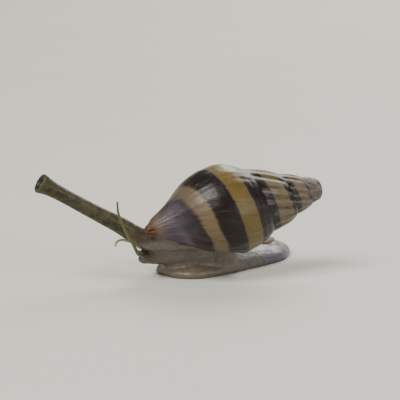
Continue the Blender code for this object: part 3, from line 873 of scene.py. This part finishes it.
def shell_material():
    made, tree, surface = new_material("banded_shell", Specular_IOR_Level=0.30, Coat_Weight=0.05,
                                       Coat_Roughness=0.12)
    growth, whorl, slanted, even = spiral_coordinates(tree)
    reach = attribute(tree, "reach")
    lines = grown(tree, even, 13.0, 9.0)
    fine_lines = grown(tree, even, 42.0, 14.0)
    clouds = mottled(tree, even, 3.2, 0.5, 0.5)

    colour = shell_bands(tree, growth, whorl, even, lines)
    colour = tint(tree, step(tree, lines, 0.48, 0.70, 0.0, 0.45), colour, LINE_SHADE, "MULTIPLY")
    colour = tint(tree, times(tree, clouds, 0.25), colour, CLOUD_SHADE, "MULTIPLY")
    colour = rubbed_ribs_and_valley_shade(tree, colour, growth, slanted, even, lines)
    faded = step(tree, grown(tree, even, 7.0, 7.0), 0.50, 0.68)
    faded = times(tree, faded, step(tree, clouds, 0.1, 0.9, 0.25, 0.9))
    colour = tint(tree, faded, colour, FADED_BROWN, "LIGHTEN")
    # Pale dashes along the growth lines: painted highlights.
    painted_glint_dashes = step(tree, grown(tree, even, 9.0, 2.6), 0.64, 0.72)
    painted_glint_dashes = times(tree, painted_glint_dashes, step(tree, fine_lines, 0.42, 0.58), 0.75)
    colour = tint(tree, painted_glint_dashes, colour, PAINTED_GLINT_GREY)
    colour = canal_colours(tree, colour, reach, even)

    near_apex = step(tree, reach, 3.2, 7.0, 0.85, 0.0)
    colour = tint(tree, step(tree, reach, 3.2, 5.6, 0.70, 0.0), colour, WORN_GREY)
    colour = tint(tree, times(tree, near_apex, mottled(tree, even, 2.4, 0.40, 0.40)), colour, CHALK)
    connect(tree, surface["Base Color"], colour)

    dull = plus(tree, times(tree, near_apex, 0.25), times(tree, lines, 0.22), 0.20)
    connect(tree, surface["Roughness"], dull)
    lengthened = add(tree, "VectorMath", {0: even, 1: (0.12, 1.0, 1.0)}, operation="MULTIPLY").outputs[0]
    threads = times(tree, noise_of(tree, lengthened, 26.0, 2.0), 0.45)
    pits = times(tree, speckled(tree, even, 26.0, 0.28), plus(tree, near_apex, 0.12))
    bump(tree, surface, minus(tree, plus(tree, fine_lines, threads), pits), 0.035)
    return made


def shell_lining_material():
    """The smooth inner side, which the bands show through."""
    made, tree, surface = new_material("shell_lining", Roughness=0.22, Coat_Weight=0.3, Coat_Roughness=0.1)
    _, whorl, _, even = spiral_coordinates(tree)
    bands = band_ramp(tree, plus(tree, whorl, times(tree, noise_of(tree, even, 2.0), 0.05)))
    connect(tree, surface["Base Color"], tint(tree, 0.45, bands, LINING))
    bump(tree, surface, grown(tree, even, 30.0, 12.0), 0.01)
    return made


# ------------------------------ the body's materials

TAUPE = rgb(0.152, 0.125, 0.102)
HEAD_BROWN = rgb(0.060, 0.045, 0.024)
RIM_OLIVE = rgb(0.080, 0.068, 0.038)
FRONT_OLIVE = rgb(0.150, 0.115, 0.074)
REAR_VIOLET = rgb(0.092, 0.090, 0.148)
SIPHON_OLIVE = rgb(0.052, 0.044, 0.013)
FEELER_OLIVE = rgb(0.042, 0.036, 0.010)
# Partly the whip's own olive, partly painted light shining through it from behind.
WHIP_GREEN_AND_PAINTED_BACKLIGHT = rgb(0.105, 0.100, 0.014)
FRECKLE_BROWN = rgb(0.030, 0.024, 0.016)
FLECK_CREAM = rgb(0.17, 0.14, 0.085)
# Painted shade for the inside of the siphon's open end.
BORE_PAINTED_SHADE = rgb(0.012, 0.010, 0.006)
DRY_BROWN = rgb(0.045, 0.022, 0.009)
# Soft patches: scale, cover, softness, share and colour.
BROAD_PATCHES = (
    (0.55, 0.50, 0.35, 1.0, rgb(0.104, 0.100, 0.107)),
    (0.9, 0.35, 0.3, 0.55, rgb(0.170, 0.114, 0.070)),
)
SMALL_PATCHES = (
    (2.3, 0.45, 0.3, 0.40, rgb(0.078, 0.071, 0.070)),
    (3.1, 0.30, 0.25, 0.35, rgb(0.215, 0.165, 0.125)),
)
SIPHON_PATCHES = (
    (1.35, 0.42, 0.16, 1.0, rgb(0.019, 0.016, 0.004)),
    (0.8, 0.4, 0.3, 0.3, rgb(0.050, 0.038, 0.034)),
)
HORN_LIGHT, HORN_DARK = rgb(0.095, 0.040, 0.011), rgb(0.035, 0.014, 0.004)
HORN_RIM, HORN_SPECK = rgb(0.125, 0.060, 0.020), rgb(0.045, 0.020, 0.008)
EYE_BLACK, EYE_HAZE = rgb(0.003, 0.003, 0.004), rgb(0.016, 0.010, 0.006)
FLOOR_LIGHT, FLOOR_DARK = rgb(0.60, 0.60, 0.55), rgb(0.57, 0.57, 0.52)


def foot_colours(tree, place, colour):
    """Olive at the front of the foot, and violet in patches behind its middle."""
    along_foot = add(tree, "VectorMath", {0: place, 1: FOOT_DIRECTION}, operation="DOT_PRODUCT").outputs[1]
    height = add(tree, "SeparateXYZ", {"Vector": place}).outputs["Z"]
    front = times(tree, step(tree, along_foot, -4.0, 4.0, 0.9, 0.0), step(tree, height, 1.2, 2.4, 1.0, 0.0))
    colour = tint(tree, front, colour, FRONT_OLIVE)
    rear = times(tree, step(tree, along_foot, 4.5, 8.0), step(tree, along_foot, 11.5, 14.5, 1.0, 0.0))
    rear = times(tree, rear, step(tree, noise_of(tree, place, 0.33), 0.34, 0.56))
    return tint(tree, rear, colour, REAR_VIOLET)


def skin_colour(tree, place, siphon, dry):
    colour = foot_colours(tree, place, patches(tree, place, TAUPE, BROAD_PATCHES))
    colour = patches(tree, place, colour, SMALL_PATCHES)
    colour = tint(tree, times(tree, attribute(tree, "rim"), 0.5), colour, RIM_OLIVE)
    colour = tint(tree, times(tree, attribute(tree, "head"), 0.55), colour, HEAD_BROWN)
    colour = tint(tree, siphon, colour, patches(tree, place, SIPHON_OLIVE, SIPHON_PATCHES))
    colour = tint(tree, attribute(tree, "feeler"), colour, FEELER_OLIVE)
    # The whips' yellow-green: their own olive, and painted light as if lit through from behind.
    colour = tint(tree, attribute(tree, "whip"), colour, WHIP_GREEN_AND_PAINTED_BACKLIGHT)
    freckles = times(tree, speckled(tree, place, 4.2, 0.42), mottled(tree, place, 1.1, 0.6, 0.3), 0.62)
    colour = tint(tree, freckles, colour, FRECKLE_BROWN)
    colour = tint(tree, times(tree, speckled(tree, place, 5.3, 0.26), 0.42), colour, FLECK_CREAM)
    # Painted shade: the inside of the siphon's open end is darkened to near black.
    colour = tint(tree, attribute(tree, "shaded_bore"), colour, BORE_PAINTED_SHADE)
    return tint(tree, times(tree, dry, 0.85), colour, DRY_BROWN)


def skin_material():
    made, tree, surface = new_material("moist_skin", Specular_IOR_Level=0.30, Coat_Roughness=0.15,
                                       Subsurface_Weight=0.12, Subsurface_Scale=0.0006)
    place = millimetres(tree)
    siphon, dry = attribute(tree, "siphon"), attribute(tree, "dry")
    connect(tree, surface["Base Color"], skin_colour(tree, place, siphon, dry))
    wet = mottled(tree, place, 1.8, 0.5, 0.5)
    matt = maths(tree, "MAXIMUM", dry, times(tree, siphon, 0.5))
    connect(tree, surface["Roughness"], plus(tree, times(tree, wet, 0.16), times(tree, matt, 0.3), 0.30))
    connect(tree, surface["Coat Weight"], times(tree, minus(tree, 1.0, matt), 0.18))
    grain = noise_of(tree, place, 7.5, 3.0, 0.6)
    cells = add(tree, "TexVoronoi", {"Vector": place, "Scale": 5.5}, feature="SMOOTH_F1").outputs["Distance"]
    bump(tree, surface, minus(tree, grain, times(tree, cells, 1.1)), 0.022)
    return made


def eye_material():
    """Wet black, with a brownish haze."""
    made, tree, surface = new_material("wet_black_eye", Coat_Weight=1.0, Coat_Roughness=0.02)
    haze = mottled(tree, millimetres(tree), 9.0, 0.4, 0.5)
    connect(tree, surface["Base Color"], tint(tree, haze, EYE_BLACK, EYE_HAZE))
    connect(tree, surface["Roughness"], plus(tree, times(tree, haze, 0.06), 0.04))
    return made


def horn_material():
    """Thin brown horn with growth lines, lighter at its rim."""
    made, tree, surface = new_material("thin_horn", Specular_IOR_Level=0.35, Subsurface_Weight=0.15,
                                       Subsurface_Scale=0.0005)
    place, ring = millimetres(tree), attribute(tree, "ring")
    uneven = {"X": times(tree, ring, 2.0), "Y": noise_of(tree, place, 0.8)}
    rings = add(tree, "CombineXYZ", uneven).outputs[0]
    lines = grown(tree, rings, 9.0, 3.0)
    colour = tint(tree, step(tree, lines, 0.35, 0.68), HORN_LIGHT, HORN_DARK)
    colour = tint(tree, step(tree, ring, 0.82, 1.0), colour, HORN_RIM)
    colour = tint(tree, times(tree, speckled(tree, place, 3.5, 0.3), 0.4), colour, HORN_SPECK)
    connect(tree, surface["Base Color"], colour)
    connect(tree, surface["Roughness"], step(tree, lines, 0.3, 0.7, 0.38, 0.58))
    bump(tree, surface, grown(tree, rings, 22.0, 6.0), 0.03)
    return made


# ------------------------------ studio

VIEW_ELEVATION = math.radians(9.0)
VIEW_AZIMUTH = math.radians(3.0)
LENS, SENSOR = 135.0, 36.0
VIEW_WIDTH = 0.0450  # what the picture spans at the snail
AIM = Vector((0.00166, 0.0, 0.0078))
FLOOR_SIZE, FLAT_RADIUS, SWEEP_RADIUS = 3.2, 0.45, 0.55
# Square lamps: place, size, watts and colour.
LAMPS = {
    "key": ((-0.35, -0.42, 0.62), 0.42, 9.0, (1.0, 0.98, 0.93)),
    "fill": ((0.60, -0.35, 0.30), 0.50, 2.6, (0.93, 0.96, 1.0)),
    "back": ((0.15, 0.62, 0.50), 0.45, 5.0, (1.0, 0.97, 0.90)),
}
WORLD_COLOUR, WORLD_STRENGTH = rgb(0.80, 0.81, 0.78), 0.26


def floor_material():
    made, tree, surface = new_material("pale_floor", Roughness=0.65, Specular_IOR_Level=0.25)
    clouds = mottled(tree, millimetres(tree), 0.02, 0.5, 0.8)
    connect(tree, surface["Base Color"], tint(tree, clouds, FLOOR_LIGHT, FLOOR_DARK))
    return made


def build_floor():
    """A flat pale floor that sweeps up softly all round, far from the snail."""
    bpy.ops.mesh.primitive_grid_add(x_subdivisions=80, y_subdivisions=80, size=FLOOR_SIZE)
    floor = bpy.context.object
    floor.name = "floor"
    places = points_of(floor)
    beyond = np.maximum(np.hypot(places[:, 0], places[:, 1]) - FLAT_RADIUS, 0)
    places[:, 2] = beyond**2 / (2 * SWEEP_RADIUS)
    move_points(floor, places)
    bpy.ops.object.shade_smooth()
    floor.data.materials.append(floor_material())


def add_lamp(name, place, size, power, colour):
    lamp = bpy.data.lights.new(name, "AREA")
    lamp.size, lamp.energy, lamp.color = size, power, colour
    thing = bpy.data.objects.new(name, lamp)
    thing.location = place
    thing.rotation_euler = (Vector(place) - AIM).to_track_quat("Z", "Y").to_euler()
    bpy.context.scene.collection.objects.link(thing)


def add_camera():
    """A long lens that looks at the snail's left side from a little above the floor."""
    toward = Vector((
        math.sin(VIEW_AZIMUTH) * math.cos(VIEW_ELEVATION),
        -math.cos(VIEW_AZIMUTH) * math.cos(VIEW_ELEVATION),
        math.sin(VIEW_ELEVATION),
    ))
    turn = (math.pi / 2 - VIEW_ELEVATION, 0, VIEW_AZIMUTH)
    bpy.ops.object.camera_add(location=AIM + toward * (VIEW_WIDTH * LENS / SENSOR), rotation=turn)
    camera = bpy.context.object
    camera.data.lens, camera.data.sensor_width = LENS, SENSOR
    camera.data.clip_start = 0.01
    bpy.context.scene.camera = camera


def build_studio():
    build_floor()
    add_camera()
    for name, settings in LAMPS.items():
        add_lamp(name, *settings)
    world = bpy.data.worlds.new("studio")
    world.use_nodes = True
    background = world.node_tree.nodes["Background"].inputs
    background["Color"].default_value, background["Strength"].default_value = WORLD_COLOUR, WORLD_STRENGTH
    bpy.context.scene.world = world


# ------------------------------ the snail

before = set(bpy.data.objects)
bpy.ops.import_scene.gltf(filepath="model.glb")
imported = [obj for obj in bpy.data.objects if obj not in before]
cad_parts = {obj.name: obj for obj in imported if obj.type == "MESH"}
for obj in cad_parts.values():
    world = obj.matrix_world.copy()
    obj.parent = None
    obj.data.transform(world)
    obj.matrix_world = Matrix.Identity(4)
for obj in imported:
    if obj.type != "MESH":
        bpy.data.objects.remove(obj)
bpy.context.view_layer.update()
eye_low, eye_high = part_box("eye_left")
SHIFT = (eye_low + eye_high) / 2 / MM - eye_centre("left")  # from the design's frame to the model's

for make_effect in (make_mottling, make_speckles, make_growth_lines):
    make_effect()
build_shell()
build_skin()
build_eyes()
build_operculum()
build_studio()
